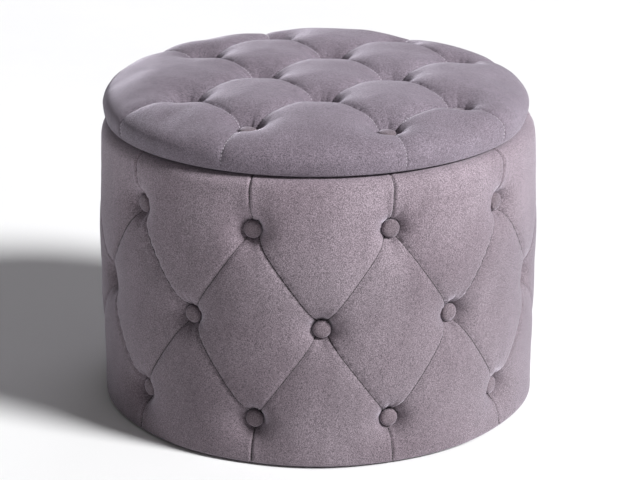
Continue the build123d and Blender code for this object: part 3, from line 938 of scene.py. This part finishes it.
def surface(tree, shader, colour, heights, rough=None):
    """Links a colour, a chain of bumps (height output, strength, distance) and a roughness, if given."""
    tree.links.new(colour, shader.inputs["Base Color"])
    if rough:
        tree.links.new(rough, shader.inputs["Roughness"])
    last = None
    for height, strength, distance in heights:
        node = tree.nodes.new("ShaderNodeBump")
        node.inputs["Strength"].default_value = strength
        node.inputs["Distance"].default_value = distance
        tree.links.new(height, node.inputs["Height"])
        if last:
            tree.links.new(last, node.inputs["Normal"])
        last = node.outputs["Normal"]
    tree.links.new(last, shader.inputs["Normal"])


def greys(*stops):
    """Ramp stops in plain grey from (position, tone) pairs."""
    return [(position, (tone, tone, tone)) for position, tone in stops]


def times(values, factor):
    return tuple(v * factor for v in values)


def velvet(name, dark, light, axis="Z", span=(0, RIM_Z), places=(0.2, 0.6, 0.92), painted_light_tones=(1.0, 1.0, 1.0)):
    """Velvet whose colour carries painted light and shade: it is made lighter or darker along one axis,
    with tones at places along the span, as the light falls on it.
    """
    m, tree, shader, place = material(name, 0.82)
    brushed = noise_node(tree, place, 7.0, 4.0, 0.6, 0.4)
    colour = ramp(tree, brushed, [(0.3, dark), (0.7, light)])
    streaks = noise_node(tree, mapped(tree, place, (55, 55, 16)), 1.0, 3.0, 0.6)
    faded = ramp(tree, streaks, [(0.3, (0.86, 0.85, 0.86)), (0.7, (1.06, 1.05, 1.06))])
    colour = mix(tree, colour, faded, 0.7)
    # painted light and shade: the colour is multiplied by a ramp along the axis, so the lit side reads
    # lighter and the shaded side darker
    split = tree.nodes.new("ShaderNodeSeparateXYZ")
    tree.links.new(place, split.inputs["Vector"])
    along = tree.nodes.new("ShaderNodeMapRange")
    along.inputs["From Min"].default_value, along.inputs["From Max"].default_value = span
    tree.links.new(split.outputs[axis], along.inputs["Value"])
    shade = ramp(tree, along.outputs["Result"], greys(*zip(places, painted_light_tones)))
    colour = mix(tree, colour, shade, 1.0)
    pile = noise_node(tree, place, 880.0, 2.0, 0.6)
    grain = ramp(tree, pile, [(0.36, (0.44, 0.43, 0.44)), (0.64, (1.50, 1.49, 1.50))])
    colour = mix(tree, colour, grain, 0.9)
    shader.inputs["Specular IOR Level"].default_value = 0.25
    shader.inputs["Sheen Weight"].default_value = 0.75
    shader.inputs["Sheen Roughness"].default_value = 0.38
    shader.inputs["Sheen Tint"].default_value = (0.86, 0.80, 0.92, 1)
    nap = noise_node(tree, place, 160.0, 3.0, 0.6)
    hair = noise_node(tree, place, 1300.0, 2.0, 0.7)
    heights = [(nap, 0.4, 0.0006), (pile, 0.7, 0.0009), (hair, 0.5, 0.00025)]
    surface(tree, shader, colour, heights, scaled(tree, streaks, 0.72, 0.95))
    return m


def thread(name, colour):
    m, tree, shader, place = material(name, 0.55)
    ply = noise_node(tree, place, 1800.0, 2.0)
    tint = ramp(tree, ply, [(0.3, times(colour, 0.75)), (0.7, colour)])
    shader.inputs["Sheen Weight"].default_value = 0.3
    surface(tree, shader, tint, [(ply, 0.5, 0.0002)])
    return m


def woven(name, dark, light, threads=900.0):
    m, tree, shader, place = material(name, 0.9)
    warp = noise_node(tree, mapped(tree, place, (1, 1, 0.12)), threads, 1.0)
    weft = noise_node(tree, mapped(tree, place, (0.12, 0.12, 1)), threads, 1.0)
    cloth_colour = ramp(tree, warp, [(0.35, dark), (0.65, light)])
    wear = ramp(tree, noise_node(tree, place, 11.0, 4.0), greys((0.3, 0.82), (0.7, 1.05)))
    crossed = mix(tree, cloth_colour, ramp(tree, weft, greys((0.3, 0.75), (0.7, 1.1))), 0.8)
    colour = mix(tree, crossed, wear, 0.9)
    shader.inputs["Sheen Weight"].default_value = 0.25
    surface(tree, shader, colour, [(warp, 0.5, 0.0003), (weft, 0.5, 0.0003)])
    return m


def wood(name, dark, light, grain=(9, 70, 70)):
    m, tree, shader, place = material(name, 0.6)
    streak = noise_node(tree, mapped(tree, place, grain), 1.0, 6.0, 0.62, 0.8)
    fibre = noise_node(tree, mapped(tree, place, times(grain, 12)), 1.0, 3.0)
    between = tuple((a + b) / 2 for a, b in zip(dark, light))
    colour = ramp(tree, streak, [(0.25, dark), (0.5, between), (0.75, light)])
    colour = mix(tree, colour, ramp(tree, fibre, greys((0.3, 0.8), (0.7, 1.05))), 0.6)
    surface(tree, shader, colour, [(fibre, 0.25, 0.0003)], scaled(tree, fibre, 0.5, 0.75))
    return m


def foam_material(name):
    m, tree, shader, place = material(name, 0.95)
    cells = tree.nodes.new("ShaderNodeTexVoronoi")
    cells.inputs["Scale"].default_value = 850.0
    tree.links.new(place, cells.inputs["Vector"])
    depth = cells.outputs["Distance"]
    colour = ramp(tree, depth, [(0.0, (0.45, 0.40, 0.26)), (0.6, (0.86, 0.81, 0.66))])
    surface(tree, shader, colour, [(depth, 0.6, 0.0006)])
    return m


def metal(name, colour, rough):
    m, tree, shader, place = material(name, rough, 1.0)
    haze = noise_node(tree, place, 240.0, 4.0)
    tint = ramp(tree, haze, [(0.3, times(colour, 0.8)), (0.7, colour)])
    surface(tree, shader, tint, [(haze, 0.1, 0.0001)], scaled(tree, haze, rough - 0.08, rough + 0.12))
    return m


def plastic(name, colour):
    m, tree, shader, place = material(name, 0.5)
    grain = noise_node(tree, place, 1500.0, 2.0)
    tint = ramp(tree, grain, [(0.3, times(colour, 0.8)), (0.7, times(colour, 1.2))])
    surface(tree, shader, tint, [(grain, 0.2, 0.0002)], scaled(tree, grain, 0.42, 0.6))
    return m


# painted light: the body's velvet is painted lighter towards the rim, where more light falls on it
body_velvet = velvet(
    "body_velvet", (0.180, 0.146, 0.168), (0.242, 0.204, 0.230), painted_light_tones=(0.90, 0.94, 1.30)
)
# painted shade: the lid's velvet is painted darker towards its left, the side turned away from the key
# light
lid_velvet = velvet(
    "lid_velvet", (0.176, 0.147, 0.177), (0.236, 0.204, 0.243),
    axis="X", span=(-LID_R, LID_R), places=(0.08, 0.42, 0.92), painted_light_tones=(0.70, 1.0, 1.03),
)
# painted shade: the buttons' velvet is a darker copy of the cover's, for the shade in the dimples they
# sit in
button_velvet_painted_shade = velvet("button_velvet_painted_shade", (0.150, 0.120, 0.136), (0.200, 0.165, 0.185))
# the body's thread is near-black: partly the thread's own colour, partly painted shadow of the seam's
# crease
body_thread_and_painted_shadow = thread("body_thread_and_painted_shadow", (0.016, 0.011, 0.013))
# the lid's thread is pale: partly the thread's own colour, partly painted highlight for the glints on the
# lid's stitches
lid_thread_and_painted_glints = thread("lid_thread_and_painted_glints", (0.66, 0.61, 0.68))
foam_look = foam_material("cushion_foam")
NODE_LOOKS = {
    "plywood": wood("birch_plywood", (0.36, 0.24, 0.13), (0.62, 0.47, 0.30)),
    "batten_wood": wood("pine_batten", (0.45, 0.29, 0.14), (0.72, 0.54, 0.32), (60, 60, 7)),
    "hardboard": wood("hardboard", (0.11, 0.06, 0.035), (0.21, 0.13, 0.08), (80, 80, 80)),
    "lining": woven("lining_cloth", (0.035, 0.033, 0.036), (0.085, 0.08, 0.086)),
    "dust_cloth": woven("dust_cloth", (0.006, 0.006, 0.006), (0.02, 0.02, 0.02), 500.0),
    "steel": metal("zinc_steel", (0.62, 0.62, 0.64), 0.32),
    "button_steel": metal("tinplate", (0.60, 0.58, 0.55), 0.4),
    "cord": thread("button_twine", (0.72, 0.66, 0.54)),
    "glide_plastic": plastic("glide_plastic", (0.02, 0.02, 0.02)),
    "velvet": body_velvet,
    "foam": foam_look,
}
for sub in frame["record"]["subparts"]:
    ob = frame["nodes"][sub["node"]]
    ob.data.materials.clear()
    ob.data.materials.append(NODE_LOOKS[sub["material_slot"]])

# ---- put the pieces together ----
body_cover, body_coarse, body_lines = make_body_cover(body_velvet)
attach(body_cover, "body")
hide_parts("body_cover")

body_foam = make_body_foam(body_coarse, foam_look)
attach(body_foam, "body")
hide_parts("body_foam")

for row, name in enumerate(ROW_NODES):
    places = []
    for c in ROW_CENTRES[row]:
        places.append((c - outward(c) * BUTTON_H / 2, outward(c)))
    buttons = make_buttons("covered_" + name, places, button_velvet_painted_shade)
    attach(buttons, "body")
    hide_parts(name)

# the near-black stitches draw the dark line along each seam: partly thread, partly painted shadow of the
# crease
body_stitches = make_stitches(
    "body_seam_stitches", body_lines, outward, body_thread_and_painted_shadow,
    pitch=3.2 * MM, length=2.8 * MM, lift=0.65 * MM, radius=0.5 * MM,
)
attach(body_stitches, "body")

lid_shift = np.array([LID_X, 0, 0])


def place_lid_piece(ob, replaced=None):
    """Moves a lid piece from the lid's own axis to the lid's place, and lets it ride on the lid."""
    set_coords(ob.data, coords(ob.data) + lid_shift)
    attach(ob, "lid")
    if replaced:
        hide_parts(replaced)


lid_cover, lid_coarse, lid_faces, lid_lines, crown_count, lid_edge = make_lid_cover(lid_velvet)
place_lid_piece(lid_cover, "lid_cover")

lid_foam = make_lid_foam(lid_coarse, crown_count, lid_edge, lid_faces, foam_look)
place_lid_piece(lid_foam, "lid_foam")

lid_places = [(np.array([c[0], c[1], LID_SEAT_Z]), (0, 0, 1.0)) for c in LID_BUTTONS]
lid_buttons = make_buttons("covered_lid_buttons", lid_places, button_velvet_painted_shade)
place_lid_piece(lid_buttons, "lid_buttons")

# the pale stitches are partly thread and partly painted highlight along the lid's seams
lid_stitches = make_stitches(
    "lid_seam_stitches", lid_lines, crown_direction, lid_thread_and_painted_glints,
    pitch=4.2 * MM, length=2.6 * MM, lift=0.8 * MM, radius=0.36 * MM,
)
place_lid_piece(lid_stitches)

# ---- floor, light and camera ----
FLOOR_REACH = 30  # metres each way
floor_corners = [(x * FLOOR_REACH, y * FLOOR_REACH, 0) for x, y in ((-1, -1), (1, -1), (1, 1), (-1, 1))]
floor_look, floor_tree, floor_shader, floor_place = material("pale_floor", 0.6)
floor = new_object("studio_floor", floor_corners, [(0, 1, 2, 3)], floor_look)
faint = noise_node(floor_tree, floor_place, 3.0)
floor_tone = ramp(floor_tree, faint, [(0.3, (0.89, 0.895, 0.90)), (0.7, (0.91, 0.915, 0.92))])
floor_tree.links.new(floor_tone, floor_shader.inputs["Base Color"])

world = bpy.data.worlds.new("studio")
world.use_nodes = True
background = world.node_tree.nodes["Background"]
background.inputs["Color"].default_value = (1.0, 0.975, 0.98, 1)
background.inputs["Strength"].default_value = 0.15
scene.world = world


def soft_sun(name, energy, angle, source, colour=(1, 1, 1)):
    """A sun lamp, angle degrees wide, shining from the direction of source."""
    data = bpy.data.lights.new(name, "SUN")
    data.energy = energy
    data.angle = math.radians(angle)
    data.color = colour
    lamp = bpy.data.objects.new(name, data)
    lamp.rotation_euler = Vector(source).to_track_quat("Z", "Y").to_euler()
    scene.collection.objects.link(lamp)


soft_sun("key", 5.1, 14, (0.71, -0.375, 0.60))
soft_sun("rim", 0.5, 50, (0.45, 0.80, 0.42), (0.93, 0.90, 1.0))

CAMERA_PLACE = (0.00216, -2.516, 1.0964)
CAMERA_DOWN = 19.97  # degrees below the horizon
camera_data = bpy.data.cameras.new("camera")
camera_data.sensor_width = 36
camera_data.lens = 123.27
camera = bpy.data.objects.new("camera", camera_data)
camera.location = CAMERA_PLACE
camera.rotation_euler = (math.radians(90 - CAMERA_DOWN), 0, 0)
scene.collection.objects.link(camera)
scene.camera = camera
scene.view_settings.view_transform = "Standard"
